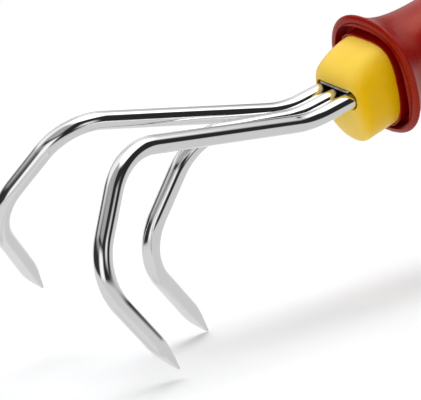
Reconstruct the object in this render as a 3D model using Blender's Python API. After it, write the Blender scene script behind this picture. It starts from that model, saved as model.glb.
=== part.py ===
# Three prong hand cultivator: bent steel tines in a plastic nose block, and a soft grip over
# a stiff core.
#
# The tool frame sits on the middle rod where the rods leave the block. Its X runs back to the
# grip, Y to the far side and Z up. The handle frame is pitched against it, and in that frame a
# point is (along, side, height). Lengths are in metres.

import math

import bmesh
import bpy
from mathutils import Matrix, Vector

# Stance of the tool, and of the handle against the rods
TOOL_TILT = math.radians(25.0)
HANDLE_PITCH = math.radians(7.0)
HANDLE_DROP = 0.0020

# Clearances
TOUCH_GAP = 0.0003
SLOT_GAP = 0.0004
CUT_MARGIN = 0.0100

# Rods
ROD_RADIUS = 0.0030
ROD_BURIED = 0.0300
ROD_STRAIGHT = 0.0181
SHOULDER_RADIUS = 0.0400
HOOK_RADIUS = 0.0199

# Middle tine: length and rise of its run, then its leg and its lower leg with the bends
MIDDLE_RUN = 0.0443
MIDDLE_RISE = math.radians(16.0)
MIDDLE_LEG = 0.0416
MIDDLE_LOWER = 0.0455
MIDDLE_KNEE = math.radians(64.8)
MIDDLE_ANKLE = math.radians(68.7)

# Outer tines: the same, spread to the side and leaning outwards
OUTER_RUN = 0.0846
OUTER_RISE = math.radians(19.9)
OUTER_SPLAY = math.radians(5.5)
OUTER_LEAN = math.radians(17.9)
OUTER_LEG = 0.0401
OUTER_LOWER = 0.0436
OUTER_KNEE = math.radians(66.6)
OUTER_ANKLE = math.radians(66.0)

# Ground point of a tine
POINT_LENGTH = 0.0140
FACET_LENGTH = 0.0140
FACET_AT_TIP = 0.0001
POINT_RADIUS = 0.0004
POINT_CURVE = 1.1

# Tang plate on the rods, and the pin behind them
PLATE_THICKNESS = 0.0008
PLATE_HALF_WIDTH = 0.0068
PLATE_CORNER = 0.0010
PLATE_REACH = 0.0010
TANG_HALF_WIDTH = 0.0040
PIN_BEHIND_RODS = 0.0100
TANG_BEHIND_PIN = 0.0060
PIN_RADIUS = 0.0015
PIN_INSET = 0.0007

# Nose block: front face, seat in the guard, and the walls round its slot
NOSE_FRONT = -0.0003
NOSE_SEAT = 0.0190
NOSE_SIDE_WALL = 0.0028
NOSE_TOP = 0.0151
NOSE_BOTTOM = 0.0185
FRONT_INSET = 0.0031
FRONT_TOP = 0.0065
FRONT_BOTTOM = 0.0055
SIDE_ROUND = 0.0038
TOP_SLOPE = 0.0146
BOTTOM_ROUND = 0.0029
CHIN_SETBACK = 0.0019

# Spigot and tail of the block inside the handle
SEAT_DEPTH = 0.0030
SPIGOT_WALL = 0.0019
SPIGOT_LENGTH = 0.0140
TAIL_LENGTH = 0.0220

# Guard: margins of its rim and of its inner edge round the block, then bead, groove, recess
# and the lip round the block
RIM_SIDE_MARGIN = 0.0077
RIM_TOP_MARGIN = 0.0075
RIM_BOTTOM_MARGIN = 0.0041
INNER_SIDE_MARGIN = 0.0039
INNER_TOP_MARGIN = 0.0038
INNER_BOTTOM_MARGIN = 0.0013
RIM_FRONT = 0.0170
BEAD_SIZE = 0.0024
BEAD_DEPTH = 0.0010
GROOVE_NEAR = 0.12
GROOVE_FAR = 0.30
GROOVE_DEPTH = 0.0005
INNER_FRONT = 0.0164
RECESS_DEPTH = 0.0036
RECESS_DRAFT = 0.15
LIP_FRONT = 0.0160
LIP_WIDTH = 0.0005
RIM_EDGE = 0.0003
FLARE_LENGTH = 0.0105

# Grip
SLEEVE_NECK_WALL = 0.0005
SLEEVE_CORE_WALL = 0.0025
NECK_HEIGHT = 0.0125
NECK_AT = 0.0500
SWELL_SIDE = 0.0026
SWELL_HEIGHT = 0.0035
SWELL_AT = 0.0920
GRIP_END = 0.1220
END_SIDE = 0.0010
END_ROUND = 0.0015

# Core and end cap
CORE_WALL = 0.0017
PLUG_LENGTH = 0.0140
CAP_LENGTH = 0.0170
CAP_FLAT = 0.45
HANG_HOLE_RADIUS = 0.0035
HANG_HOLE_FROM_END = 0.0085

# Squareness of the sections: 2 is an ellipse, and more is squarer
GRIP_SQUARENESS = 2.25
INNER_SQUARENESS = 2.9
NOSE_TOP_SQUARENESS = (2.71, 3.42)
NOSE_BOTTOM_SQUARENESS = (2.12, 2.45)
CHIN_CURVE = 0.87

# Fineness of the solids
ROD_BEVEL_RESOLUTION = 6
BEND_STEP = math.radians(8.0)
RING_POINTS = 48
CORE_POINTS = 32
POINT_RINGS = 8
PLATE_CORNER_STEPS = 4
NOSE_STEPS = 14
BEAD_STEPS = 6
BODY_STEPS = 9
FLARE_STEPS = 11
CAP_STEPS = 16

# How the rings crowd towards a tight curve, and the share of a rounded end at its middle ring
POINT_CROWDING = 1.5
NOSE_CROWDING = 1.7
FLARE_CROWDING = 1.8
ROUND_MIDDLE = 0.3

# Sizes worked out from those above
ROD_SPACING = 2 * ROD_RADIUS + TOUCH_GAP
SLOT_HALF = ROD_SPACING + ROD_RADIUS + SLOT_GAP
PLATE_MIDDLE = ROD_RADIUS + TOUCH_GAP + PLATE_THICKNESS / 2
SLOT_LOW = -ROD_RADIUS - SLOT_GAP
SLOT_HIGH = PLATE_MIDDLE + PLATE_THICKNESS / 2 + SLOT_GAP / 2
PIN_AT = ROD_BURIED + PIN_BEHIND_RODS
TANG_END = PIN_AT + TANG_BEHIND_PIN
NOSE_HALF = SLOT_HALF + NOSE_SIDE_WALL
SHOULDER_AT = NOSE_SEAT + SEAT_DEPTH
SPIGOT_END = SHOULDER_AT + SPIGOT_LENGTH
TAIL_END = SPIGOT_END + TAIL_LENGTH
SPIGOT_HALF = SLOT_HALF + SPIGOT_WALL
NECK_HALF = SPIGOT_HALF + TOUCH_GAP + SLEEVE_NECK_WALL
SPIGOT_HEIGHT = NECK_HEIGHT - SLEEVE_NECK_WALL - 2 * TOUCH_GAP
CORE_HALF = NECK_HALF - SLEEVE_CORE_WALL - TOUCH_GAP
CORE_HEIGHT = NECK_HEIGHT - SLEEVE_CORE_WALL - TOUCH_GAP
BORE_HALF = CORE_HALF - CORE_WALL
BORE_HEIGHT = CORE_HEIGHT - CORE_WALL
TAIL_HALF = BORE_HALF - TOUCH_GAP
TAIL_HEIGHT = BORE_HEIGHT - TOUCH_GAP
RIM_HALF = NOSE_HALF + RIM_SIDE_MARGIN
RIM_TOP = NOSE_TOP + RIM_TOP_MARGIN
RIM_BOTTOM = NOSE_BOTTOM + RIM_BOTTOM_MARGIN
RIM_AT = RIM_FRONT + BEAD_DEPTH
FLARE_START = RIM_AT + RIM_EDGE


def clear_scene():
    for obj in list(bpy.data.objects):
        bpy.data.objects.remove(obj, do_unlink=True)


def new_collection(name):
    collection = bpy.data.collections.new(name)
    bpy.context.scene.collection.children.link(collection)
    return collection


def new_empty(name, parent, location, pitch):
    empty = bpy.data.objects.new(name, None)
    empty.empty_display_size = 0.01
    empty.parent = parent
    empty.location = location
    empty.rotation_euler = (0.0, -pitch, 0.0)
    bpy.context.scene.collection.objects.link(empty)
    return empty


def new_material(name, colour, roughness, metallic=0.0, coat=0.0):
    material = bpy.data.materials.new(name)
    material.use_nodes = True
    material.diffuse_color = (*colour, 1.0)
    shader = material.node_tree.nodes["Principled BSDF"]
    shader.inputs["Base Color"].default_value = (*colour, 1.0)
    shader.inputs["Roughness"].default_value = roughness
    shader.inputs["Metallic"].default_value = metallic
    shader.inputs["Coat Weight"].default_value = coat
    return material


def finish_part(obj, collection, parent, material):
    obj.parent = parent
    collection.objects.link(obj)
    obj.data.materials.append(material)
    if obj.type == "MESH":
        obj.data.shade_smooth()
        obj.data.set_sharp_from_angle(angle=math.radians(35))
    return obj


def new_cutter(obj, parent):
    obj.parent = parent
    obj.hide_render = True
    obj.display_type = "WIRE"
    bpy.data.collections["cutters"].objects.link(obj)
    return obj


def cut(obj, cutter):
    modifier = obj.modifiers.new(cutter.name, "BOOLEAN")
    modifier.operation = "DIFFERENCE"
    modifier.solver = "EXACT"
    modifier.object = cutter


# Sections and lofts. A section is a ring of (side, height) points, and a ring a section at a
# place along X.


def signed_power(value, power):
    return math.copysign(abs(value) ** power, value)


def egg_section(half, top, bottom, top_squareness, bottom_squareness, points):
    section = []
    for index in range(points):
        angle = 2 * math.pi * index / points
        upper = math.sin(angle) >= 0
        power = 2 / (top_squareness if upper else bottom_squareness)
        side = half * signed_power(math.cos(angle), power)
        height = (top if upper else bottom) * signed_power(math.sin(angle), power)
        section.append((side, height))
    return section


def oval_section(half, height, squareness, points):
    return egg_section(half, height, height, squareness, squareness, points)


def mixed_section(first, second, share):
    return [
        (a[0] + (b[0] - a[0]) * share, a[1] + (b[1] - a[1]) * share)
        for a, b in zip(first, second)
    ]


def slot_section(half, low, high, corner, points):
    """A rounded rectangle, as points on its four corner arcs."""
    section = []
    quarter = points // 4
    middle = (low + high) / 2
    reach = (high - low) / 2 - corner
    for turn, (side_sign, height_sign) in enumerate(((1, 1), (-1, 1), (-1, -1), (1, -1))):
        for step in range(quarter):
            angle = math.pi / 2 * (turn + step / (quarter - 1))
            side = side_sign * (half - corner) + corner * math.cos(angle)
            height = middle + height_sign * reach + corner * math.sin(angle)
            section.append((side, height))
    return section


def ring_at(along, section):
    return [Vector((along, side, height)) for side, height in section]


def loft(name, rings, closed_round=False):
    """Skin over rings with the same count of points: capped at both ends, or joined round."""
    mesh = bpy.data.meshes.new(name)
    skin = bmesh.new()
    rows = [[skin.verts.new(point) for point in ring] for ring in rings]
    pairs = list(zip(rows, rows[1:]))
    if closed_round:
        pairs.append((rows[-1], rows[0]))
    else:
        skin.faces.new(rows[0])
        skin.faces.new(rows[-1])
    for row, following in pairs:
        for index in range(len(row)):
            after = (index + 1) % len(row)
            skin.faces.new((row[index], row[after], following[after], following[index]))
    bmesh.ops.recalc_face_normals(skin, faces=skin.faces)
    skin.to_mesh(mesh)
    skin.free()
    return bpy.data.objects.new(name, mesh)


def cylinder(name, radius, length, segments, turn):
    """A cylinder about the origin, turned from Z."""
    mesh = bpy.data.meshes.new(name)
    shape = bmesh.new()
    bmesh.ops.create_cone(
        shape,
        cap_ends=True,
        segments=segments,
        radius1=radius,
        radius2=radius,
        depth=length,
        matrix=turn,
    )
    shape.to_mesh(mesh)
    shape.free()
    return bpy.data.objects.new(name, mesh)


# Tines


def tine_corners(side, run, rise, splay, lean, leg, lower, knee, ankle):
    """Where the straight stretches of a tine would meet, from its buried end to its tip."""
    corners = [
        Vector((ROD_BURIED, side * ROD_SPACING, 0.0)),
        Vector((-ROD_STRAIGHT, side * ROD_SPACING, 0.0)),
    ]
    heading = Vector(
        (
            -math.cos(rise) * math.cos(splay),
            side * math.cos(rise) * math.sin(splay),
            math.sin(rise),
        )
    )
    across = heading.cross(Vector((0.0, 0.0, 1.0))).normalized()
    across = Matrix.Rotation(-side * lean, 3, heading) @ across
    corners.append(corners[-1] + heading * run)
    heading = Matrix.Rotation(-knee, 3, across) @ heading
    corners.append(corners[-1] + heading * leg)
    heading = Matrix.Rotation(-ankle, 3, across) @ heading
    corners.append(corners[-1] + heading * lower)
    return corners, across


def bent_route(corners, radii):
    """Straight runs joined by arcs of the given radii."""
    route = [corners[0]]
    for before, corner, after, radius in zip(corners, corners[1:], corners[2:], radii):
        arriving = (corner - before).normalized()
        leaving = (after - corner).normalized()
        turn = arriving.angle(leaving)
        axis = arriving.cross(leaving).normalized()
        start = corner - arriving * radius * math.tan(turn / 2)
        centre = start + axis.cross(arriving) * radius
        steps = max(2, math.ceil(turn / BEND_STEP))
        for step in range(steps + 1):
            swing = Matrix.Rotation(turn * step / steps, 3, axis)
            route.append(centre + swing @ (start - centre))
    tip = corners[-1]
    shank = (tip - route[-1]).normalized()
    for ring in range(POINT_RINGS, -1, -1):
        route.append(tip - shank * POINT_LENGTH * (ring / POINT_RINGS) ** POINT_CROWDING)
    return route


def rod_mesh(name, route):
    """A round rod along the route, as one closed mesh."""
    curve = bpy.data.curves.new(name + "_path", "CURVE")
    curve.dimensions = "3D"
    curve.bevel_depth = ROD_RADIUS
    curve.bevel_resolution = ROD_BEVEL_RESOLUTION
    curve.use_fill_caps = True
    spline = curve.splines.new("POLY")
    spline.points.add(len(route) - 1)
    for point, place in zip(spline.points, route):
        point.co = (*place, 1.0)
    guide = bpy.data.objects.new(name + "_path", curve)
    bpy.context.scene.collection.objects.link(guide)
    graph = bpy.context.evaluated_depsgraph_get()
    mesh = bpy.data.meshes.new_from_object(guide.evaluated_get(graph))
    bpy.data.objects.remove(guide, do_unlink=True)
    bpy.data.curves.remove(curve)
    return mesh


def grind_point(shape, tip, shank, across):
    """Draws the end of a rod in to a point, with a flat facet on the inside of the hook."""
    inner = shank.cross(across).normalized()
    for vertex in shape.verts:
        offset = vertex.co - tip
        back = -offset.dot(shank)
        if back > POINT_LENGTH or offset.length > POINT_LENGTH + ROD_RADIUS:
            continue
        share = max(back, 0.0) / POINT_LENGTH
        taper = math.sin(share * math.pi / 2) ** POINT_CURVE
        narrow = POINT_RADIUS + (ROD_RADIUS - POINT_RADIUS) * taper
        scale = narrow / ROD_RADIUS
        inward = offset.dot(inner) * scale
        sideways = offset.dot(across) * scale
        facet = FACET_AT_TIP + (ROD_RADIUS - FACET_AT_TIP) * max(back, 0.0) / FACET_LENGTH
        inward = min(inward, facet)
        vertex.co = tip - shank * back + inner * inward + across * sideways


def make_tine(name, corners, across, collection, tool, material):
    route = bent_route(corners, (SHOULDER_RADIUS, HOOK_RADIUS, HOOK_RADIUS))
    mesh = rod_mesh(name, route)
    shape = bmesh.new()
    shape.from_mesh(mesh)
    bmesh.ops.remove_doubles(shape, verts=shape.verts, dist=1e-6)
    grind_point(shape, corners[-1], (corners[-1] - corners[-2]).normalized(), across)
    bmesh.ops.recalc_face_normals(shape, faces=shape.faces)
    shape.to_mesh(mesh)
    shape.free()
    return finish_part(bpy.data.objects.new(name, mesh), collection, tool, material)


def make_tines(collection, tool):
    chrome = new_material("chrome_steel", (0.78, 0.78, 0.78), 0.08, metallic=1.0)
    middle = (
        MIDDLE_RUN,
        MIDDLE_RISE,
        0.0,
        0.0,
        MIDDLE_LEG,
        MIDDLE_LOWER,
        MIDDLE_KNEE,
        MIDDLE_ANKLE,
    )
    outer = (
        OUTER_RUN,
        OUTER_RISE,
        OUTER_SPLAY,
        OUTER_LEAN,
        OUTER_LEG,
        OUTER_LOWER,
        OUTER_KNEE,
        OUTER_ANKLE,
    )
    for name, side, shape in (
        ("tine_near", -1, outer),
        ("tine_middle", 0, middle),
        ("tine_far", 1, outer),
    ):
        corners, across = tine_corners(side, *shape)
        make_tine(name, corners, across, collection, tool, chrome)


# Plate and pin


def make_tang_plate(collection, tool):
    """A strip over the rods that narrows to a tang, with the pin's hole in it."""
    curve = bpy.data.curves.new("tang_plate", "CURVE")
    curve.dimensions = "2D"
    curve.fill_mode = "BOTH"
    curve.extrude = PLATE_THICKNESS / 2
    front = -PLATE_REACH
    outline = [
        (TANG_END, TANG_HALF_WIDTH),
        (ROD_BURIED, TANG_HALF_WIDTH),
        (ROD_BURIED, PLATE_HALF_WIDTH),
    ]
    for step in range(PLATE_CORNER_STEPS + 1):
        angle = math.pi / 2 * (1 + step / PLATE_CORNER_STEPS)
        outline.append(
            (
                front + PLATE_CORNER + PLATE_CORNER * math.cos(angle),
                PLATE_HALF_WIDTH - PLATE_CORNER + PLATE_CORNER * math.sin(angle),
            )
        )
    outline += [(along, -side) for along, side in reversed(outline)]
    add_flat_loop(curve, outline)
    hole = PIN_RADIUS + TOUCH_GAP
    turns = [2 * math.pi * index / CORE_POINTS for index in range(CORE_POINTS)]
    add_flat_loop(curve, [(PIN_AT + hole * math.cos(a), hole * math.sin(a)) for a in turns])
    plate = bpy.data.objects.new("tang_plate", curve)
    plate.location = (0.0, 0.0, PLATE_MIDDLE)
    steel = new_material("bright_steel", (0.62, 0.60, 0.56), 0.3, metallic=1.0)
    return finish_part(plate, collection, tool, steel)


def add_flat_loop(curve, outline):
    spline = curve.splines.new("POLY")
    spline.points.add(len(outline) - 1)
    for point, (along, side) in zip(spline.points, outline):
        point.co = (along, side, 0.0, 1.0)
    spline.use_cyclic_u = True


def pin_place():
    """Middle of the pin: on the handle's axis, where the tang crosses it."""
    along = PIN_AT - HANDLE_DROP * math.sin(HANDLE_PITCH)
    height = along * math.tan(HANDLE_PITCH) - HANDLE_DROP * math.cos(HANDLE_PITCH)
    return (PIN_AT, 0.0, height)


def make_retaining_pin(collection, tool):
    length = 2 * (TAIL_HEIGHT - PIN_INSET)
    pin = cylinder("retaining_pin", PIN_RADIUS, length, CORE_POINTS, Matrix.Identity(4))
    pin.location = pin_place()
    steel = new_material("pin_steel", (0.45, 0.45, 0.46), 0.35, metallic=1.0)
    return finish_part(pin, collection, tool, steel)


# Nose block


def rise(distance, reach, low, high):
    """A quarter of an ellipse from low to high over reach, and level after it."""
    share = min(max(distance / reach, 0.0), 1.0)
    return low + (high - low) * math.sqrt(1 - (1 - share) ** 2)


def nose_section(share):
    """Egg-shaped section of the block, from its front at 0 to its seat at 1."""
    distance = share * (NOSE_SEAT - NOSE_FRONT)
    return egg_section(
        rise(distance, SIDE_ROUND, SLOT_HALF - FRONT_INSET, NOSE_HALF),
        rise(distance, TOP_SLOPE, FRONT_TOP, NOSE_TOP),
        rise(distance, BOTTOM_ROUND, FRONT_BOTTOM, NOSE_BOTTOM),
        NOSE_TOP_SQUARENESS[0] + (NOSE_TOP_SQUARENESS[1] - NOSE_TOP_SQUARENESS[0]) * share,
        NOSE_BOTTOM_SQUARENESS[0] + (NOSE_BOTTOM_SQUARENESS[1] - NOSE_BOTTOM_SQUARENESS[0]) * share,
        RING_POINTS,
    )


def nose_rings():
    rings = []
    for step in range(NOSE_STEPS + 1):
        share = (step / NOSE_STEPS) ** NOSE_CROWDING
        along = NOSE_FRONT + share * (NOSE_SEAT - NOSE_FRONT)
        section = nose_section(share)
        setback = (1 - share) * CHIN_SETBACK
        ring = []
        for side, height in section:
            below = max(-height, 0.0) / NOSE_BOTTOM
            ring.append(Vector((along + setback * below**CHIN_CURVE, side, height)))
        rings.append(ring)
    return rings


def make_nose_block(collection, tool, handle):
    spigot = oval_section(SPIGOT_HALF, SPIGOT_HEIGHT, GRIP_SQUARENESS, RING_POINTS)
    tail = oval_section(TAIL_HALF, TAIL_HEIGHT, 2.0, RING_POINTS)
    rings = nose_rings()
    rings.append(ring_at(SHOULDER_AT, nose_section(1.0)))
    rings.append(ring_at(SHOULDER_AT, spigot))
    rings.append(ring_at(SPIGOT_END, spigot))
    rings.append(ring_at(SPIGOT_END, tail))
    rings.append(ring_at(TAIL_END, tail))
    block = loft("nose_block", rings)

    corner = ROD_RADIUS + SLOT_GAP
    rod_slot = slot_section(SLOT_HALF, SLOT_LOW, SLOT_HIGH, corner, RING_POINTS)
    ends = (-CUT_MARGIN, ROD_BURIED + SLOT_GAP)
    cut(block, new_cutter(loft("rod_slot", [ring_at(end, rod_slot) for end in ends]), tool))

    half = PLATE_THICKNESS / 2 + SLOT_GAP
    tang_slot = slot_section(
        TANG_HALF_WIDTH + SLOT_GAP, PLATE_MIDDLE - half, PLATE_MIDDLE + half, half / 2, 16
    )
    ends = (ROD_BURIED - SLOT_GAP, TANG_END + SLOT_GAP)
    cut(block, new_cutter(loft("tang_slot", [ring_at(end, tang_slot) for end in ends]), tool))

    hole = cylinder(
        "pin_hole",
        PIN_RADIUS + TOUCH_GAP,
        2 * (TAIL_HEIGHT + CUT_MARGIN),
        CORE_POINTS,
        Matrix.Identity(4),
    )
    hole.location = pin_place()
    cut(block, new_cutter(hole, tool))
    yellow = new_material("yellow_plastic", (0.78, 0.47, 0.0), 0.35, coat=0.2)
    return finish_part(block, collection, handle, yellow)


# Grip


def body_sizes(along):
    """Half width and half height of the grip behind the guard."""
    if along < SWELL_AT:
        share = max(along - NECK_AT, 0.0) / (SWELL_AT - NECK_AT)
        swell = math.sin(share * math.pi / 2) ** 2
        return NECK_HALF + SWELL_SIDE * swell, NECK_HEIGHT + SWELL_HEIGHT * swell
    share = (along - SWELL_AT) / (GRIP_END - SWELL_AT)
    fall = 1 - math.cos(share * math.pi / 2)
    return (
        NECK_HALF + SWELL_SIDE + (END_SIDE - SWELL_SIDE) * fall,
        NECK_HEIGHT + SWELL_HEIGHT + (END_SIDE - SWELL_HEIGHT) * fall,
    )


def outer_section(along, inset=0.0):
    """The grip's outside behind the rim: its body, and the guard that flares out of it."""
    half, height = body_sizes(along)
    flare = math.exp(-(along - FLARE_START) / FLARE_LENGTH)
    return egg_section(
        half + (RIM_HALF - NECK_HALF) * flare - inset,
        height + (RIM_TOP - NECK_HEIGHT) * flare - inset,
        height + (RIM_BOTTOM - NECK_HEIGHT) * flare - inset,
        GRIP_SQUARENESS,
        GRIP_SQUARENESS,
        RING_POINTS,
    )


def rim_section(inset):
    return egg_section(
        RIM_HALF - inset,
        RIM_TOP - inset,
        RIM_BOTTOM - inset,
        GRIP_SQUARENESS,
        GRIP_SQUARENESS,
        RING_POINTS,
    )


def inner_edge():
    """Where the guard's front face drops into the recess round the block."""
    return egg_section(
        NOSE_HALF + INNER_SIDE_MARGIN,
        NOSE_TOP + INNER_TOP_MARGIN,
        NOSE_BOTTOM + INNER_BOTTOM_MARGIN,
        INNER_SQUARENESS,
        INNER_SQUARENESS,
        RING_POINTS,
    )


def hole_section(margin):
    """The block's own section at its seat, grown by a margin."""
    return egg_section(
        NOSE_HALF + margin,
        NOSE_TOP + margin,
        NOSE_BOTTOM + margin,
        NOSE_TOP_SQUARENESS[1],
        NOSE_BOTTOM_SQUARENESS[1],
        RING_POINTS,
    )


def guard_rings():
    """From the rim over the bead, across the groove and down the recess to the block's hole."""
    rings = []
    for step in range(BEAD_STEPS + 1):
        angle = math.pi / 2 * step / BEAD_STEPS
        along = RIM_AT - BEAD_DEPTH * math.sin(angle)
        rings.append(ring_at(along, rim_section(BEAD_SIZE * (1 - math.cos(angle)))))
    bead_end = rim_section(BEAD_SIZE)
    edge = inner_edge()
    for share in (GROOVE_NEAR, GROOVE_FAR):
        rings.append(ring_at(RIM_FRONT + GROOVE_DEPTH, mixed_section(bead_end, edge, share)))
    rings.append(ring_at(RIM_FRONT, mixed_section(bead_end, edge, GROOVE_NEAR + GROOVE_FAR)))
    rings.append(ring_at(INNER_FRONT, edge))
    floor = RIM_FRONT + RECESS_DEPTH
    lip_outer = hole_section(SLOT_GAP + LIP_WIDTH)
    rings.append(ring_at(floor, mixed_section(edge, lip_outer, RECESS_DRAFT)))
    rings.append(ring_at(floor, lip_outer))
    rings.append(ring_at(LIP_FRONT, lip_outer))
    rings.append(ring_at(LIP_FRONT, hole_section(SLOT_GAP)))
    return rings


def make_grip_sleeve(collection, handle):
    middle = ROUND_MIDDLE * END_ROUND
    rings = [
        ring_at(GRIP_END, outer_section(GRIP_END, END_ROUND)),
        ring_at(GRIP_END - middle, outer_section(GRIP_END, middle)),
        ring_at(GRIP_END - END_ROUND, outer_section(GRIP_END)),
    ]
    for step in range(1, BODY_STEPS + 1):
        along = GRIP_END - (GRIP_END - NECK_AT) * step / (BODY_STEPS + 1)
        rings.append(ring_at(along, outer_section(along)))
    for step in range(FLARE_STEPS):
        share = (1 - step / FLARE_STEPS) ** FLARE_CROWDING
        along = FLARE_START + (NECK_AT - FLARE_START) * share
        rings.append(ring_at(along, outer_section(along)))
    rings += guard_rings()
    seat = SHOULDER_AT + TOUCH_GAP
    step_at = SPIGOT_END + TOUCH_GAP
    spigot_bore = oval_section(
        SPIGOT_HALF + TOUCH_GAP, SPIGOT_HEIGHT + TOUCH_GAP, GRIP_SQUARENESS, RING_POINTS
    )
    core_bore = oval_section(CORE_HALF + TOUCH_GAP, CORE_HEIGHT + TOUCH_GAP, 2.0, RING_POINTS)
    rings.append(ring_at(seat, hole_section(SLOT_GAP)))
    rings.append(ring_at(seat, spigot_bore))
    rings.append(ring_at(step_at, spigot_bore))
    rings.append(ring_at(step_at, core_bore))
    rings.append(ring_at(GRIP_END, core_bore))
    sleeve = loft("grip_sleeve", rings, closed_round=True)
    red = new_material("red_soft_plastic", (0.32, 0.012, 0.006), 0.42)
    return finish_part(sleeve, collection, handle, red)


def make_handle_core(collection, handle):
    outer = oval_section(CORE_HALF, CORE_HEIGHT, 2.0, CORE_POINTS)
    bore = oval_section(BORE_HALF, BORE_HEIGHT, 2.0, CORE_POINTS)
    front = SPIGOT_END + 2 * TOUCH_GAP
    rings = [
        ring_at(front, outer),
        ring_at(GRIP_END, outer),
        ring_at(GRIP_END, bore),
        ring_at(front, bore),
    ]
    core = loft("handle_core", rings, closed_round=True)
    grey = new_material("core_plastic", (0.08, 0.08, 0.08), 0.5)
    return finish_part(core, collection, handle, grey)


def make_end_cap(collection, handle):
    """Plug in the core, and a domed end with a hole to hang the tool by."""
    start = GRIP_END + TOUCH_GAP
    plug = oval_section(TAIL_HALF, TAIL_HEIGHT, 2.0, RING_POINTS)
    half, height = body_sizes(GRIP_END)
    foot = oval_section(half - END_ROUND, height - END_ROUND, GRIP_SQUARENESS, RING_POINTS)
    rings = [ring_at(start - PLUG_LENGTH, plug), ring_at(start, plug), ring_at(start, foot)]
    shell_start = start + ROUND_MIDDLE * END_ROUND
    for step in range(CAP_STEPS + 1):
        share = step / CAP_STEPS
        along = shell_start + (start + CAP_LENGTH - shell_start) * share
        size = CAP_FLAT + (1 - CAP_FLAT) * math.sqrt(1 - share**3)
        section = oval_section(half * size, height * size, GRIP_SQUARENESS, RING_POINTS)
        rings.append(ring_at(along, section))
    cap = loft("end_cap", rings)
    hole = cylinder(
        "hang_hole",
        HANG_HOLE_RADIUS,
        2 * (half + CUT_MARGIN),
        CORE_POINTS,
        Matrix.Rotation(math.pi / 2, 4, "X"),
    )
    hole.location = (start + CAP_LENGTH - HANG_HOLE_FROM_END, 0.0, 0.0)
    cut(cap, new_cutter(hole, handle))
    yellow = new_material("cap_plastic", (0.78, 0.47, 0.0), 0.35, coat=0.2)
    return finish_part(cap, collection, handle, yellow)


def stand_on_origin(tool, collection):
    """Moves the tool so that the origin is under the middle of its box, on the ground."""
    bpy.context.view_layer.update()
    graph = bpy.context.evaluated_depsgraph_get()
    points = []
    for obj in collection.objects:
        evaluated = obj.evaluated_get(graph)
        mesh = evaluated.to_mesh()
        points += [evaluated.matrix_world @ vertex.co for vertex in mesh.vertices]
        evaluated.to_mesh_clear()
    low = Vector([min(point[axis] for point in points) for axis in range(3)])
    high = Vector([max(point[axis] for point in points) for axis in range(3)])
    tool.location -= Vector(((low.x + high.x) / 2, (low.y + high.y) / 2, low.z))
    bpy.context.view_layer.update()
    print("overall size in mm:", [round(1000 * size, 1) for size in high - low])


def main():
    clear_scene()
    parts = new_collection("three_prong_cultivator")
    new_collection("cutters")
    tool = new_empty("tool_frame", None, (0.0, 0.0, 0.0), TOOL_TILT)
    handle_place = (
        HANDLE_DROP * math.sin(HANDLE_PITCH),
        0.0,
        -HANDLE_DROP * math.cos(HANDLE_PITCH),
    )
    handle = new_empty("handle_frame", tool, handle_place, HANDLE_PITCH)
    make_tines(parts, tool)
    make_tang_plate(parts, tool)
    make_retaining_pin(parts, tool)
    make_nose_block(parts, tool, handle)
    make_grip_sleeve(parts, handle)
    make_handle_core(parts, handle)
    make_end_cap(parts, handle)
    stand_on_origin(tool, parts)


main()
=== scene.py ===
import math

import bmesh
import bpy
from mathutils import Matrix, Vector


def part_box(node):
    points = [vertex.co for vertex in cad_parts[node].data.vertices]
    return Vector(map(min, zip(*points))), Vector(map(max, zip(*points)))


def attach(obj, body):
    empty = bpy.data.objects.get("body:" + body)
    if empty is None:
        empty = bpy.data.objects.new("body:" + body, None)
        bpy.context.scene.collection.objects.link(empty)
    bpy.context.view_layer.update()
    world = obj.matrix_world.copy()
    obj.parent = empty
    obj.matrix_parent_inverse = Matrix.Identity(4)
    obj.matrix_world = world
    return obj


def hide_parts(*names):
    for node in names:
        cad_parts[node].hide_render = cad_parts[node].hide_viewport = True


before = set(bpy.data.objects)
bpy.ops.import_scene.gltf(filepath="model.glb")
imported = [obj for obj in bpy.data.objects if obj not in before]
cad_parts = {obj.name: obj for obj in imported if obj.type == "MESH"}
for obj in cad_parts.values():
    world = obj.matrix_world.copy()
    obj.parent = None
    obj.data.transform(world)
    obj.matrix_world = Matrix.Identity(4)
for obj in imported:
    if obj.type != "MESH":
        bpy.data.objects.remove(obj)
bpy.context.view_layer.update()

mm = 0.001  # lengths below are in millimetres and angles in degrees, unless a note says otherwise


# Camera

camera = {
    "place": (-485.34, -454.52, 201.95),
    "turn": (75.773, -11.679, -40.667),
    "lens": 171.1,
    "sensor": 36.0,
    "clipStart": 10.0,
}


def setCamera():
    bpy.ops.object.camera_add(
        location=Vector(camera["place"]) * mm,
        rotation=[math.radians(angle) for angle in camera["turn"]],
    )
    photoCamera = bpy.context.object
    photoCamera.name = "photoCamera"
    photoCamera.data.lens = camera["lens"]
    photoCamera.data.sensor_width = camera["sensor"]
    photoCamera.data.clip_start = camera["clipStart"] * mm
    bpy.context.scene.camera = photoCamera


# Places: the tool frame lies on the middle rod at the block's mouth, with X back to the grip,
# and the handle frame is pitched against it

stance = {
    "tilt": 25.0,
    "pitch": 7.0,
    "drop": 2.0,
    "plateReach": 1.0,  # the plate's front edge, and its lower and upper faces, give the place
    "plateLow": 3.3,
    "plateHigh": 4.1,
}


def toolFrame():
    low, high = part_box("tang_plate")
    turn = Matrix.Rotation(math.radians(-stance["tilt"]), 4, "Y")
    foremost = turn @ Vector((-stance["plateReach"], 0, stance["plateHigh"])) * mm
    lowest = turn @ Vector((-stance["plateReach"], 0, stance["plateLow"])) * mm
    return Matrix.Translation((low.x - foremost.x, 0, low.z - lowest.z)) @ turn


def handleFrame():
    pitch = math.radians(stance["pitch"])
    drop = Vector((math.sin(pitch), 0, -math.cos(pitch))) * stance["drop"] * mm
    return toolFrame() @ Matrix.Translation(drop) @ Matrix.Rotation(-pitch, 4, "Y")


# Modelling helpers

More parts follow.
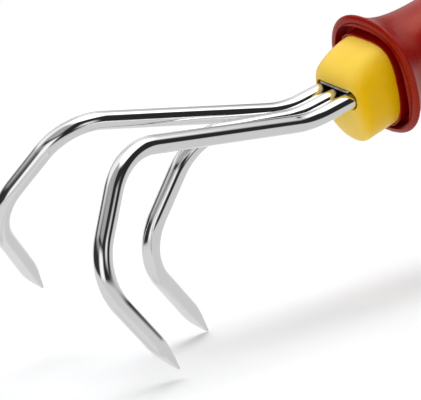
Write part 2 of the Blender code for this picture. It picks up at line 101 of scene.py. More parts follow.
weld = 0.001  # points closer than this become one


def deselectAll():
    if bpy.context.object and bpy.context.object.mode != "OBJECT":
        bpy.ops.object.mode_set(mode="OBJECT")
    bpy.ops.object.select_all(action="DESELECT")


def startLoft(name, points):
    # the circle's points are numbered, so that the rings grown from it keep their order
    deselectAll()
    bpy.ops.mesh.primitive_circle_add(vertices=len(points))
    piece = bpy.context.object
    piece.name = name
    order = piece.data.attributes.new("order", "INT", "POINT")
    for index, vertex in enumerate(piece.data.vertices):
        order.data[index].value = index
        vertex.co = points[index]
    bpy.ops.object.mode_set(mode="EDIT")
    bpy.ops.mesh.select_all(action="SELECT")


def growRing(points):
    bpy.ops.mesh.extrude_region_move()
    mesh = bpy.context.edit_object.data
    cage = bmesh.from_edit_mesh(mesh)
    order = cage.verts.layers.int["order"]
    for vertex in cage.verts:
        if vertex.select:
            vertex.co = points[vertex[order]]
    bmesh.update_edit_mesh(mesh)


def capStart(count):
    # the first ring holds the mesh's first points
    bpy.ops.mesh.select_all(action="DESELECT")
    cage = bmesh.from_edit_mesh(bpy.context.edit_object.data)
    cage.verts.ensure_lookup_table()
    for vertex in cage.verts[:count]:
        vertex.select = True
    cage.select_flush(True)
    bpy.ops.mesh.edge_face_add()


def closeSkin(sharpAngle):
    piece = bpy.context.edit_object
    bpy.ops.mesh.select_all(action="SELECT")
    bpy.ops.mesh.remove_doubles(threshold=weld * mm)
    bpy.ops.mesh.normals_make_consistent(inside=False)
    bpy.ops.object.mode_set(mode="OBJECT")
    if "order" in piece.data.attributes:
        piece.data.attributes.remove(piece.data.attributes["order"])
    bpy.ops.object.shade_smooth_by_angle(angle=math.radians(sharpAngle))
    return piece


def loft(name, rings, sharpAngle, closedRound=False):
    startLoft(name, rings[0])
    for ring in rings[1:]:
        growRing(ring)
    if closedRound:
        growRing(rings[0])
    else:
        bpy.ops.mesh.edge_face_add()
        capStart(len(rings[0]))
    return closeSkin(sharpAngle)


def cutAway(piece, cutter):
    deselectAll()
    bpy.context.view_layer.objects.active = piece
    piece.select_set(True)
    modifier = piece.modifiers.new("cut", "BOOLEAN")
    modifier.object = cutter
    bpy.ops.object.modifier_apply(modifier=modifier.name)
    bpy.data.objects.remove(cutter)


def dress(piece, node, finish):
    piece.data.materials.clear()
    piece.data.materials.append(finish)
    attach(piece, "root")
    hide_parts(node)


# Sections across the handle, as (side, height) points

sectionPoints = 144
finerBy = 5  # an outline is worked out with this many points for each one that is kept
ellipse = 2.0  # the squareness of a plain ellipse


def signedPower(value, power):
    return math.copysign(abs(value) ** power, value)


def evenly(outline, count):
    # the same closed outline, with points an even way apart
    loop = outline + outline[:1]
    reached = [0.0]
    for first, second in zip(loop, loop[1:]):
        reached.append(reached[-1] + math.dist(first, second))
    points = []
    place = 0
    for index in range(count):
        wanted = reached[-1] * index / count
        while reached[place + 1] < wanted:
            place += 1
        share = (wanted - reached[place]) / (reached[place + 1] - reached[place])
        first, second = loop[place], loop[place + 1]
        points.append([a + (b - a) * share for a, b in zip(first, second)])
    return points


def egg(half, top, bottom, topSquareness, bottomSquareness):
    # a rounded outline whose upper and lower halves have their own height and squareness
    outline = []
    steps = finerBy * sectionPoints
    for step in range(steps):
        angle = 2 * math.pi * step / steps
        upper = math.sin(angle) >= 0
        power = 2 / (topSquareness if upper else bottomSquareness)
        side = half * signedPower(math.cos(angle), power)
        height = (top if upper else bottom) * signedPower(math.sin(angle), power)
        outline.append((side, height))
    return evenly(outline, sectionPoints)


def oval(half, height, squareness):
    return egg(half, height, height, squareness, squareness)


def between(first, second, share):
    return [[p + (q - p) * share for p, q in zip(a, b)] for a, b in zip(first, second)]


def ringAt(place, along, section):
    # a section set at a distance along a frame's X axis, in the row's metres
    return [place @ (Vector((along, side, height)) * mm) for side, height in section]


# Tines

rod = {
    "radius": 2.985,
    "spacing": 6.3,
    "buried": 30.0,
    "straight": 18.1,
    "bends": (40.0, 19.9, 19.9),  # radii at the shoulder, knee and ankle
    "sides": 72,
    "turnStep": 3.0,
    "sharpAngle": 30.0,  # where faces meet at more than this, the edge looks sharp
}
groundPoint = {
    "length": 14.0,
    "steps": 22,
    "crowding": 1.5,  # of the rings at the tip: at 1 they would be evenly spaced
    "curve": 1.1,
    "tipRadius": 0.4,
    "endGap": 0.4,  # from the last ring but one to the tip, in tip radii
    "endSize": 0.6,  # of the last ring against the one before it
    "facetLength": 14.0,
    "facetAtTip": 0.1,
    "facetReach": 1.3,  # how far the cut for the facet reaches, in lengths of the point
}
outerTine = {
    "run": 84.6, "rise": 19.9, "splay": 5.5, "lean": 17.9,
    "leg": 40.1, "knee": 66.6, "lower": 43.6, "ankle": 66.0,
}
middleTine = {
    "run": 44.3, "rise": 16.0, "splay": 0.0, "lean": 0.0,
    "leg": 41.6, "knee": 64.8, "lower": 45.5, "ankle": 68.7,
}


def tineCorners(shape, side):
    # where the straight stretches would meet in the tool frame, and the axis the hook turns on
    corners = [
        Vector((rod["buried"], side * rod["spacing"], 0)),
        Vector((-rod["straight"], side * rod["spacing"], 0)),
    ]
    rise, splay = math.radians(shape["rise"]), math.radians(shape["splay"])
    heading = Vector((-math.cos(splay), side * math.sin(splay), 0)) * math.cos(rise)
    heading.z = math.sin(rise)
    across = heading.cross(Vector((0, 0, 1))).normalized()
    across = Matrix.Rotation(-side * math.radians(shape["lean"]), 3, heading) @ across
    corners.append(corners[-1] + heading * shape["run"])
    for turn, length in (("knee", "leg"), ("ankle", "lower")):
        heading = Matrix.Rotation(-math.radians(shape[turn]), 3, across) @ heading
        corners.append(corners[-1] + heading * shape[length])
    return corners, across


def ringCentre():
    cage = bmesh.from_edit_mesh(bpy.context.edit_object.data)
    chosen = [vertex.co for vertex in cage.verts if vertex.select]
    return sum(chosen, Vector()) / len(chosen)


def extrudeTo(place):
    bpy.ops.mesh.extrude_region_move(TRANSFORM_OT_translate={"value": place - ringCentre()})


def drawPoint(tip, shank, inner):
    # rings that shrink towards the tip, then a flat facet ground on the inside of the hook
    length, radius = groundPoint["length"] * mm, rod["radius"] * mm
    tipRadius = groundPoint["tipRadius"] * mm
    size = 1.0
    for step in range(groundPoint["steps"], -1, -1):
        share = (step / groundPoint["steps"]) ** groundPoint["crowding"]
        extrudeTo(tip - shank * (length * share + tipRadius * groundPoint["endGap"]))
        taper = math.sin(share * math.pi / 2) ** groundPoint["curve"]
        wanted = (tipRadius + (radius - tipRadius) * taper) / radius
        bpy.ops.transform.resize(value=[wanted / size] * 3, center_override=ringCentre())
        size = wanted
    extrudeTo(tip)
    bpy.ops.transform.resize(value=[groundPoint["endSize"]] * 3, center_override=ringCentre())
    bpy.ops.mesh.edge_face_add()

    facetAtTip = groundPoint["facetAtTip"] * mm
    slope = (radius - facetAtTip) / (groundPoint["facetLength"] * mm)
    bpy.ops.mesh.select_all(action="DESELECT")
    cage = bmesh.from_edit_mesh(bpy.context.edit_object.data)
    for face in cage.faces:
        if (face.calc_center_median() - tip).length < groundPoint["facetReach"] * length:
            face.select = True
    bpy.ops.mesh.bisect(
        plane_co=tip + inner * facetAtTip,
        plane_no=inner + shank * slope,
        use_fill=True,
        clear_outer=True,
    )


def makeTine(name, node, shape, side, finish):
    corners, across = tineCorners(shape, side)
    place = toolFrame()
    corners = [place @ (corner * mm) for corner in corners]
    across = place.to_3x3() @ across
    heading = (corners[1] - corners[0]).normalized()
    deselectAll()
    bpy.ops.mesh.primitive_circle_add(
        vertices=rod["sides"],
        radius=rod["radius"] * mm,
        location=corners[0],
        rotation=heading.to_track_quat("Z", "Y").to_euler(),
    )
    tine = bpy.context.object
    tine.name = name
    bpy.ops.object.transform_apply(location=True, rotation=True, scale=True)
    bpy.ops.object.mode_set(mode="EDIT")
    bpy.ops.mesh.select_all(action="SELECT")
    for corner, following, bend in zip(corners[1:], corners[2:], rod["bends"]):
        leaving = (following - corner).normalized()
        turn = heading.angle(leaving)
        axis = heading.cross(leaving).normalized()
        radius = bend * mm
        start = corner - heading * radius * math.tan(turn / 2)
        extrudeTo(start)
        bpy.ops.mesh.spin(
            steps=math.ceil(math.degrees(turn) / rod["turnStep"]),
            angle=-turn,  # with no window, spin turns the other way
            center=start + axis.cross(heading) * radius,
            axis=axis,
        )
        heading = leaving
    drawPoint(corners[-1], heading, heading.cross(across).normalized())
    capStart(rod["sides"])
    closeSkin(rod["sharpAngle"])
    dress(tine, node, finish)


# Nose block, in the handle frame, with its mouth in the tool frame

nose = {
    "front": -0.3,
    "seat": 19.0,
    "half": 12.5,
    "top": 15.1,
    "bottom": 18.5,
    "frontHalf": 6.6,
    "frontTop": 6.5,
    "frontBottom": 5.5,
    "sideRound": 3.8,
    "topSlope": 14.6,
    "bottomRound": 2.9,
    "chinSetback": 1.9,
    "chinCurve": 0.87,
    "topSquareness": (2.71, 3.42),  # at the front and at the seat
    "bottomSquareness": (2.12, 2.45),
    "steps": 34,
    "crowding": 1.9,  # of the rings at the front
    "shoulder": 22.0,
    "spigotEnd": 36.0,
    "spigot": (11.6, 11.4),  # half width and half height
    "tailEnd": 58.0,
    "tail": (7.6, 7.7),
    "sharpAngle": 50.0,
}
mouth = {
    "half": 9.7,
    "low": -3.4,
    "high": 4.3,
    "corner": 3.4,
    "cornerSteps": 15,
    "reach": 10.0,
    "depth": 30.4,
}


def quarterEllipse(distance, reach, low, high):
    # from low to high over reach, and level after it
    share = min(max(distance / reach, 0.0), 1.0)
    return low + (high - low) * math.sqrt(1 - (1 - share) ** 2)


def noseSection(share, margin=0.0):
    distance = share * (nose["seat"] - nose["front"])
    topFront, topSeat = nose["topSquareness"]
    bottomFront, bottomSeat = nose["bottomSquareness"]
    return egg(
        quarterEllipse(distance, nose["sideRound"], nose["frontHalf"], nose["half"]) + margin,
        quarterEllipse(distance, nose["topSlope"], nose["frontTop"], nose["top"]) + margin,
        quarterEllipse(distance, nose["bottomRound"], nose["frontBottom"], nose["bottom"]) + margin,
        topFront + (topSeat - topFront) * share,
        bottomFront + (bottomSeat - bottomFront) * share,
    )


def makeNoseBlock(finish):
    place = handleFrame()
    rings = []
    for step in range(nose["steps"] + 1):
        share = (step / nose["steps"]) ** nose["crowding"]
        along = nose["front"] + share * (nose["seat"] - nose["front"])
        ring = []
        for side, height in noseSection(share):
            below = max(-height, 0.0) / nose["bottom"]
            setback = (1 - share) * nose["chinSetback"] * below ** nose["chinCurve"]
            ring.append(place @ (Vector((along + setback, side, height)) * mm))
        rings.append(ring)
    seat = noseSection(1.0)
    spigot = oval(*nose["spigot"], grip["squareness"])
    tail = oval(*nose["tail"], ellipse)
    for along, section in (
        (nose["shoulder"], seat),
        (nose["shoulder"], spigot),
        (nose["spigotEnd"], spigot),
        (nose["spigotEnd"], tail),
        (nose["tailEnd"], tail),
    ):
        rings.append(ringAt(place, along, section))
    block = loft("noseBlock", rings, nose["sharpAngle"])

    middle = (mouth["low"] + mouth["high"]) / 2
    reach = (mouth["high"] - mouth["low"]) / 2 - mouth["corner"]
    outline = []
    for turn, (sideSign, heightSign) in enumerate(((1, 1), (-1, 1), (-1, -1), (1, -1))):
        for step in range(mouth["cornerSteps"] + 1):
            angle = math.pi / 2 * (turn + step / mouth["cornerSteps"])
            side = sideSign * (mouth["half"] - mouth["corner"]) + mouth["corner"] * math.cos(angle)
            height = middle + heightSign * reach + mouth["corner"] * math.sin(angle)
            outline.append((side, height))
    rings = [ringAt(toolFrame(), end, outline) for end in (-mouth["reach"], mouth["depth"])]
    cutAway(block, loft("mouthCutter", rings, nose["sharpAngle"]))
    bpy.ops.object.shade_smooth_by_angle(angle=math.radians(nose["sharpAngle"]))
    dress(block, "nose_block", finish)


# Grip, in the handle frame

grip = {
    "squareness": 2.25,
    "neckHalf": 12.4,
    "neckHeight": 12.5,
    "neckAt": 50.0,
    "swellSide": 2.6,
    "swellHeight": 3.5,
    "swellAt": 92.0,
    "end": 122.0,
    "endSide": 1.0,
    "endRound": 1.5,
    "endSteps": 6,
    "flareLength": 10.5,
    "bodySteps": 26,
    "flareSteps": 30,
    "crowding": 1.8,  # of the flare's rings at the guard
    "seat": 22.3,
    "spigotBore": (11.9, 11.7),
    "stepAt": 36.3,
    "coreBore": (9.9, 10.0),
    "sharpAngle": 40.0,
}
guard = {
    "half": 20.2,
    "top": 22.6,
    "bottom": 22.6,
    "front": 17.0,
    "beadSize": 2.4,
    "beadDepth": 1.0,
    "beadSteps": 12,
    "edge": 0.3,
    "innerHalf": 16.4,
    "innerTop": 18.9,
    "innerBottom": 19.8,
    "innerFront": 16.4,
    "innerSquareness": 2.9,
    "grooveDepth": 0.5,
    "groove": (0.12, 0.30, 0.42),  # its corners, as shares of the way from bead to inner edge
    "recessDepth": 4.3,
    "recessDraft": 0.15,
    "lipFront": 16.0,
    "lipWidth": 0.5,
    "lipGap": 0.15,
}
flareStart = guard["front"] + guard["beadDepth"] + guard["edge"]


def bodySizes(along):
    # half width and half height of the grip behind its guard
    half, height = grip["neckHalf"], grip["neckHeight"]
    if along < grip["swellAt"]:
        share = max(along - grip["neckAt"], 0.0) / (grip["swellAt"] - grip["neckAt"])
        swell = math.sin(share * math.pi / 2) ** 2
        return half + grip["swellSide"] * swell, height + grip["swellHeight"] * swell
    share = (along - grip["swellAt"]) / (grip["end"] - grip["swellAt"])
    fall = 1 - math.cos(share * math.pi / 2)
    return (
        half + grip["swellSide"] + (grip["endSide"] - grip["swellSide"]) * fall,
        height + grip["swellHeight"] + (grip["endSide"] - grip["swellHeight"]) * fall,
    )


def gripSection(along, inset=0.0):
    half, height = bodySizes(along)
    flare = math.exp(-(along - flareStart) / grip["flareLength"])
    return egg(
        half + (guard["half"] - grip["neckHalf"]) * flare - inset,
        height + (guard["top"] - grip["neckHeight"]) * flare - inset,
        height + (guard["bottom"] - grip["neckHeight"]) * flare - inset,
        grip["squareness"],
        grip["squareness"],
    )


def rimSection(inset):
    squareness = grip["squareness"]
    sizes = (guard["half"] - inset, guard["top"] - inset, guard["bottom"] - inset)
    return egg(*sizes, squareness, squareness)


def guardSections():
    # (along, section) from the rim over the bead, the groove and the face to the block's hole
    found = []
    front, rimAt = guard["front"], guard["front"] + guard["beadDepth"]
    for step in range(guard["beadSteps"] + 1):
        angle = math.pi / 2 * step / guard["beadSteps"]
        inset = guard["beadSize"] * (1 - math.cos(angle))
        found.append((rimAt - guard["beadDepth"] * math.sin(angle), rimSection(inset)))
    beadEnd = rimSection(guard["beadSize"])
    squareness = guard["innerSquareness"]
    edge = egg(guard["innerHalf"], guard["innerTop"], guard["innerBottom"], squareness, squareness)
    for share, depth in zip(guard["groove"], (guard["grooveDepth"], guard["grooveDepth"], 0)):
        found.append((front + depth, between(beadEnd, edge, share)))
    found.append((guard["innerFront"], edge))
    floor = front + guard["recessDepth"]
    lipOuter = noseSection(1.0, guard["lipGap"] + guard["lipWidth"])
    lipInner = noseSection(1.0, guard["lipGap"])
    found.append((floor, between(edge, lipOuter, guard["recessDraft"])))
    found.append((floor, lipOuter))
    found.append((guard["lipFront"], lipOuter))
    found.append((guard["lipFront"], lipInner))
    found.append((grip["seat"], lipInner))
    return found


def makeGrip(finish):
    end, endRound = grip["end"], grip["endRound"]
    sections = []
    for step in range(grip["endSteps"] + 1):
        angle = math.pi / 2 * step / grip["endSteps"]
        inset = endRound * (1 - math.sin(angle))
        sections.append((end - endRound * (1 - math.cos(angle)), gripSection(end, inset)))
    for step in range(1, grip["bodySteps"] + 1):
        along = end - endRound - (end - endRound - grip["neckAt"]) * step / grip["bodySteps"]
        sections.append((along, gripSection(along)))
    for step in range(1, grip["flareSteps"]):
        share = (1 - step / grip["flareSteps"]) ** grip["crowding"]
        along = flareStart + (grip["neckAt"] - flareStart) * share
        sections.append((along, gripSection(along)))
    sections += guardSections()
    spigotBore = oval(*grip["spigotBore"], grip["squareness"])
    coreBore = oval(*grip["coreBore"], ellipse)
    sections += [
        (grip["seat"], spigotBore),
        (grip["stepAt"], spigotBore),
        (grip["stepAt"], coreBore),
        (end, coreBore),
    ]
    place = handleFrame()
    rings = [ringAt(place, along, section) for along, section in sections]
    sleeve = loft("gripSleeve", rings, grip["sharpAngle"], closedRound=True)
    dress(sleeve, "grip_sleeve", finish)


# End cap, in the handle frame

cap = {
    "start": 122.3,
    "length": 16.99,
    "plug": 14.0,
    "foot": 0.45,
    "footSteps": 6,
    "flat": 0.45,  # the end face against the whole section
    "dome": 3,  # the power that rounds the end
    "steps": 24,
    "crowding": 1.6,  # of the rings at the end
    "holeRadius": 3.5,
    "holeFromEnd": 8.5,
    "holeSides": 96,
    "holeReach": 4.0,  # the length of the hole's cutter, in half widths of the cap
    "sharpAngle": 50.0,
}


def makeEndCap(finish):
    place = handleFrame()
    half, height = bodySizes(grip["end"])
    squareness, start = grip["squareness"], cap["start"]
    plug = oval(*nose["tail"], ellipse)
    rings = [ringAt(place, start - cap["plug"], plug), ringAt(place, start, plug)]
    for step in range(cap["footSteps"]):
        angle = math.pi / 2 * step / cap["footSteps"]
        inset = grip["endRound"] * (1 - math.sin(angle))
        along = start + cap["foot"] * (1 - math.cos(angle))
        rings.append(ringAt(place, along, oval(half - inset, height - inset, squareness)))
    shellStart = start + cap["foot"]
    for step in range(cap["steps"] + 1):
        share = 1 - (1 - step / cap["steps"]) ** cap["crowding"]
        along = shellStart + (start + cap["length"] - shellStart) * share
        size = cap["flat"] + (1 - cap["flat"]) * math.sqrt(1 - share ** cap["dome"])
        rings.append(ringAt(place, along, oval(half * size, height * size, squareness)))
    endCap = loft("endCap", rings, cap["sharpAngle"])
    centre = place @ (Vector((start + cap["length"] - cap["holeFromEnd"], 0, 0)) * mm)
    deselectAll()
    bpy.ops.mesh.primitive_cylinder_add(
        vertices=cap["holeSides"],
        radius=cap["holeRadius"] * mm,
        depth=cap["holeReach"] * half * mm,
        location=centre,
        rotation=(math.pi / 2, 0, 0),
    )
    cutAway(endCap, bpy.context.object)
    bpy.ops.object.shade_smooth_by_angle(angle=math.radians(cap["sharpAngle"]))
    dress(endCap, "end_cap", finish)


# Finishes. One noise mixes the two colours, and roughness and bump each follow another. A noise
# is given by its scale and detail, and a bump's height in millimetres.

looks = {
    "polishedChrome": {
        "plain": {"Metallic": 1.0},
        "colours": ((0.965, 0.96, 0.95, 1), (0.90, 0.905, 0.91, 1)),
        "patches": (70, 3),
        "roughness": {"least": 0.04, "spread": 0.06, "grain": (220, 4)},
        "bump": {"strength": 0.08, "height": 0.05, "grain": (60, 3)},
    },
    "plateSteel": {
        "plain": {"Base Color": (0.62, 0.60, 0.56, 1), "Metallic": 1.0},
        "roughness": {"least": 0.25, "spread": 0.15, "grain": (900, 4)},
        "bump": {"strength": 0.2, "height": 0.03, "grain": (1500, 3)},
    },
    "pinSteel": {
        "plain": {"Base Color": (0.45, 0.45, 0.46, 1), "Metallic": 1.0},
        "roughness": {"least": 0.3, "spread": 0.15, "grain": (900, 4)},
        "bump": {"strength": 0.2, "height": 0.03, "grain": (1500, 3)},
    },
    "yellowPlastic": {
        "plain": {"Specular IOR Level": 0.4, "Specular Tint": (1.0, 0.75, 0.1, 1)},
        "colours": ((0.88, 0.50, 0.0, 1), (0.95, 0.56, 0.0, 1)),
        "patches": (140, 3),
        # paler on the front and top than on the two sides: a painted sheen and painted light, where
        # the light falls on them the painted sheen fades out between two distances from the middle
        # plane
        "paintedSheen": {
            "colour": (1.0, 0.68, 0.09, 1),
            "least": 0.7,
            "spread": 0.5,
            "fadesFrom": 6.5,
            "fadesTo": 12.5,
        },
        "roughness": {"least": 0.28, "spread": 0.08, "grain": (420, 3)},
        "bump": {"strength": 0.06, "height": 0.05, "grain": (1100, 2)},
    },
    "redGrip": {
        "plain": {"Specular IOR Level": 0.7, "Specular Tint": (1.0, 0.42, 0.2, 1)},
        "colours": ((0.26, 0.002, 0.001, 1), (0.33, 0.003, 0.002, 1)),
        "patches": (90, 3),
        "roughness": {"least": 0.24, "spread": 0.08, "grain": (300, 3)},
        "bump": {"strength": 0.07, "height": 0.05, "grain": (1600, 2)},
    },
    "corePlastic": {
        "plain": {},
        "colours": ((0.06, 0.06, 0.06, 1), (0.1, 0.1, 0.1, 1)),
        "patches": (120, 3),
        "roughness": {"least": 0.45, "spread": 0.1, "grain": (500, 3)},
    },
}


class Wire:
    # an output socket that takes part in sums: 1 - mask adds its Math node
    def __init__(self, finish, socket):
        self.finish = finish
        self.socket = socket

    def __add__(self, other):
        return self.finish.maths("ADD", self, other)

    def __radd__(self, other):
        return self.finish.maths("ADD", other, self)

    def __sub__(self, other):
        return self.finish.maths("SUBTRACT", self, other)

    def __rsub__(self, other):
        return self.finish.maths("SUBTRACT", other, self)

    def __mul__(self, other):
        return self.finish.maths("MULTIPLY", self, other)

    def __rmul__(self, other):
        return self.finish.maths("MULTIPLY", other, self)


class Finish:
    def __init__(self, name, plain):
        self.material = bpy.data.materials.new(name)
        self.material.use_nodes = True
        self.tree = self.material.node_tree
        self.shader = self.tree.nodes["Principled BSDF"]
        for socket, value in plain.items():
            self.shader.inputs[socket].default_value = value

    def node(self, kind, settings, sockets, out=0):
        made = self.tree.nodes.new("ShaderNode" + kind)
        for setting, value in settings.items():
            setattr(made, setting, value)
        for socket, value in sockets.items():
            if isinstance(value, Wire):
                self.tree.links.new(value.socket, made.inputs[socket])
            else:
                made.inputs[socket].default_value = value
        return Wire(self, made.outputs[out])

    def feed(self, socket, wire):
        self.tree.links.new(wire.socket, self.shader.inputs[socket])

    def objectPoint(self):
        return self.node("TexCoord", {}, {}, out="Object")

    def noise(self, scale, detail):
        sockets = {"Vector": self.objectPoint(), "Scale": scale, "Detail": detail}
        return self.node("TexNoise", {}, sockets)

    def maths(self, operation, *values):
        return self.node("Math", {"operation": operation}, dict(enumerate(values)))

    def fade(self, value, low, high):
        # 1 below low, 0 above high, and a soft step between them
        sockets = {0: value, 1: low, 2: high, 3: 1.0, 4: 0.0}
        return self.node("MapRange", {"interpolation_type": "SMOOTHSTEP"}, sockets)

    def grey(self, level):
        return self.node("CombineColor", {}, {0: level, 1: level, 2: level})

    def mixColours(self, factor, first, second):
        return self.node("Mix", {"data_type": "RGBA"}, {0: factor, 6: first, 7: second}, out=2)


# paints sheen and light into the colour: paler on the front and top, where the light falls
def paintSheen(finish, paintedSheen, tone, colour):
    # the distance from the middle plane is the point's Y, either way
    across = finish.node("SeparateXYZ", {}, {0: finish.objectPoint()}, out=1)
    across = finish.maths("ABSOLUTE", across)
    sheenShare = finish.fade(across, paintedSheen["fadesFrom"] * mm, paintedSheen["fadesTo"] * mm)
    share = sheenShare * (paintedSheen["least"] + paintedSheen["spread"] * tone)
    return finish.mixColours(share, colour, paintedSheen["colour"])


def makeFinish(name):
    look = looks[name]
    finish = Finish(name, look["plain"])
    if "colours" in look:
        tone = finish.noise(*look["patches"])
        colour = finish.mixColours(tone, *look["colours"])
        # the painted sheen and light on the front and top
        if "paintedSheen" in look:
            colour = paintSheen(finish, look["paintedSheen"], tone, colour)
        finish.feed("Base Color", colour)
    roughness = look["roughness"]
    grain = finish.noise(*roughness["grain"])
    finish.feed("Roughness", roughness["least"] + roughness["spread"] * grain)
    if "bump" in look:
        bump = look["bump"]
        sockets = {
            "Height": finish.noise(*bump["grain"]),
            "Strength": bump["strength"],
            "Distance": bump["height"] * mm,
        }
        finish.feed("Normal", finish.node("Bump", {}, sockets))
    return finish.material


def dressNode(node, finish):
    # a CAD node that stays takes its finish here, and keeps its slot
    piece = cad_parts[node]
    piece.data.materials.clear()
    piece.data.materials.append(finish)


# Studio

studio = {
    "fill": 0.47,  # the white world's strength as a light
    "floorSize": 1600.0,
    "floorColour": (0.825, 0.83, 0.84, 1),  # blue evens out what the grip's red gives its shadow
    "floorGlow": 0.14,  # makes the floor white to the camera, and leaves its shadows
    "floorSlope": (0.22, -0.29),  # rises towards the handle and the camera, as the shadows show
}
lamps = (
    {"name": "windowLamp", "azimuth": 142.0, "elevation": 60.0, "strength": 1.08, "spread": 36.0},
    {"name": "backLamp", "azimuth": 50.0, "elevation": 60.0, "strength": 0.87, "spread": 42.0},
    {"name": "leftLamp", "azimuth": 188.0, "elevation": 15.0, "strength": 0.50, "spread": 40.0},
)

# Polished steel looks like what stands round it, so grey and black cards hang in the white room.
# Only reflections show them. A card is placed by the azimuth and elevation of its middle, and
# its reach is the same either way. One with a reach of 180 goes all the way round. The table is
# all that lies below the horizon.
room = {
    "centre": (-50, 0, 60),
    "radius": 1500.0,
    "segments": 64,
    "rings": 32,
    "wall": 0.62,
    "table": 0.62,
    "horizon": {"middle": -8.0, "tilt": 22.5, "highAt": -25.0, "soft": 4.0},
}
cards = {
    "ceiling": {"place": (60, 90), "reach": (180, 34), "soft": 9, "level": 1.80},
    "backLight": {"place": (66, 22), "reach": (9, 20), "soft": 5, "level": 0.86},
    "backWindow": {"place": (126, 30), "reach": (26, 24), "soft": 7, "level": 0.92},
    "leftGrey": {"place": (188, 37), "reach": (40, 29), "soft": 8, "level": 0.38},
    "backBlack": {"place": (149, -14), "reach": (42, 22), "soft": 11, "level": 0.03},
    "backLine": {"place": (104, 1), "reach": (18, 8), "soft": 4, "level": 0.03},
    "sideBlack": {"place": (-81, 26), "reach": (62, 40), "soft": 7, "level": 0.022},
    "farBlack": {"place": (13, 19), "reach": (35, 15), "soft": 7, "level": 0.03},
    "leftBelt": {"place": (-162, 20), "reach": (33, 5), "soft": 4, "level": 0.03},
    "lowLamp": {"place": (-148, -11), "reach": (17, 26), "soft": 8, "level": 1.00},
    "smallLamp": {"place": (-91, 24), "reach": (12, 10), "soft": 8, "level": 0.82},
}
# these hang in front of the table too
overCards = {
    "farTable": {"place": (62, -26), "reach": (36, 34), "soft": 20, "level": 0.90},
    "underTable": {"place": (10, -70), "reach": (75, 18), "soft": 9, "level": 0.74},
    "leftTable": {"place": (180, -55), "reach": (95, 22), "soft": 6, "level": 0.69},
    "backEdge": {"place": (58, -1), "reach": (14, 10), "soft": 4, "level": 0.03},
}


def makeRoom():
    deselectAll()
    bpy.ops.mesh.primitive_uv_sphere_add(
        segments=room["segments"],
        ring_count=room["rings"],
        radius=room["radius"] * mm,
        location=Vector(room["centre"]) * mm,
    )
    shell = bpy.context.object
    shell.name = "roomCards"
    plain = {"Base Color": (0, 0, 0, 1), "Roughness": 1.0, "Specular IOR Level": 0.0}
    finish = Finish("roomCards", plain | {"Emission Strength": 1.0})
    aim = finish.node("VectorMath", {"operation": "NORMALIZE"}, {0: finish.objectPoint()})
    east, north, up = [finish.node("SeparateXYZ", {}, {0: aim}, out=axis) for axis in range(3)]
    azimuth = finish.maths("ARCTAN2", north, east)
    elevation = finish.maths("ARCSINE", up)

    def towards(middle):
        # 1 in the direction of an azimuth and -1 away from it
        return finish.maths("COSINE", azimuth - math.radians(middle))

    def within(angle, edge, soft):
        # 1 inside the edge and 0 outside it
        return finish.fade(angle, math.radians(edge - soft), math.radians(edge + soft))

    def hang(card, level):
        (turn, lift), (wide, tall), soft = card["place"], card["reach"], card["soft"]
        over = finish.maths("ABSOLUTE", elevation - math.radians(lift))
        mask = within(over, tall, soft)
        if wide < 180:
            mask = mask * within(finish.maths("ARCCOSINE", towards(turn)), wide, soft)
        return level + mask * (card["level"] - level)

    level = room["wall"]
    for card in cards.values():
        level = hang(card, level)
    horizon = room["horizon"]
    swing = math.radians(horizon["tilt"]) * towards(horizon["highAt"])
    above = elevation - (math.radians(horizon["middle"]) + swing)
    level = level + within(above, 0.0, horizon["soft"]) * (room["table"] - level)
    for card in overCards.values():
        level = hang(card, level)
    finish.feed("Emission Color", finish.grey(level))
    shell.data.materials.append(finish.material)
    shell.visible_camera = False
    shell.visible_diffuse = False
    shell.visible_shadow = False
    shell.visible_transmission = False


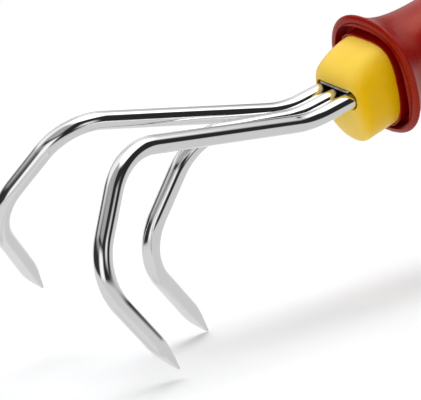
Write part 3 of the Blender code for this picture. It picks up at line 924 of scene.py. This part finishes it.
def makeFloor():
    deselectAll()
    corners, _ = tineCorners(middleTine, 0)
    touch = toolFrame() @ (corners[-1] * mm)
    alongX, alongY = studio["floorSlope"]
    upright = Vector((-alongX, -alongY, 1))
    bpy.ops.mesh.primitive_plane_add(
        size=studio["floorSize"] * mm,
        location=(touch.x, touch.y, 0),
        rotation=upright.to_track_quat("Z", "Y").to_euler(),
    )
    floor = bpy.context.object
    floor.name = "floor"
    floor.visible_glossy = False
    plain = {"Base Color": studio["floorColour"], "Roughness": 1.0, "Specular IOR Level": 0.0}
    finish = Finish("paleFloor", plain | {"Emission Strength": 1.0})
    glow = finish.node("LightPath", {}, {}, out="Is Camera Ray") * studio["floorGlow"]
    finish.feed("Emission Color", finish.grey(glow))
    # from below the floor isn't seen, and doesn't hide the tool
    finish.feed("Alpha", 1.0 - finish.node("NewGeometry", {}, {}, out="Backfacing"))
    floor.data.materials.append(finish.material)


def makeLamps():
    for lamp in lamps:
        lean, towards = math.radians(90 - lamp["elevation"]), math.radians(lamp["azimuth"] + 90)
        bpy.ops.object.light_add(type="SUN", location=(0, 0, 1), rotation=(lean, 0, towards))
        sun = bpy.context.object
        sun.name = lamp["name"]
        sun.data.energy = lamp["strength"]
        sun.data.angle = math.radians(lamp["spread"])
        sun.visible_glossy = False


def setWorld():
    # full white where it is seen, and the fill's strength as a light
    world = bpy.data.worlds.new("whiteRoom")
    world.use_nodes = True
    bpy.context.scene.world = world
    tree = world.node_tree
    background = tree.nodes["Background"]
    background.inputs["Color"].default_value = (1, 1, 1, 1)
    path = tree.nodes.new("ShaderNodeLightPath")
    seen = path.outputs["Is Camera Ray"]
    for other in ("Is Glossy Ray", "Is Transmission Ray"):
        either = tree.nodes.new("ShaderNodeMath")
        either.operation = "MAXIMUM"
        tree.links.new(seen, either.inputs[0])
        tree.links.new(path.outputs[other], either.inputs[1])
        seen = either.outputs[0]
    strength = tree.nodes.new("ShaderNodeMath")
    strength.operation = "MULTIPLY_ADD"
    tree.links.new(seen, strength.inputs[0])
    strength.inputs[1].default_value = 1 - studio["fill"]
    strength.inputs[2].default_value = studio["fill"]
    tree.links.new(strength.outputs[0], background.inputs["Strength"])


# The whole tool

setCamera()
print("camera set")

chrome = makeFinish("polishedChrome")
makeTine("nearTine", "tine_near", outerTine, -1, chrome)
makeTine("middleTine", "tine_middle", middleTine, 0, chrome)
makeTine("farTine", "tine_far", outerTine, 1, chrome)
print("tines made")

yellow = makeFinish("yellowPlastic")
makeNoseBlock(yellow)
print("nose block made")

makeGrip(makeFinish("redGrip"))
print("grip made")

makeEndCap(yellow)
print("end cap made")

dressNode("tang_plate", makeFinish("plateSteel"))
dressNode("retaining_pin", makeFinish("pinSteel"))
dressNode("handle_core", makeFinish("corePlastic"))
print("inner pieces finished")

makeFloor()
makeRoom()
makeLamps()
setWorld()
bpy.context.scene.view_settings.view_transform = "Standard"
print("studio set")
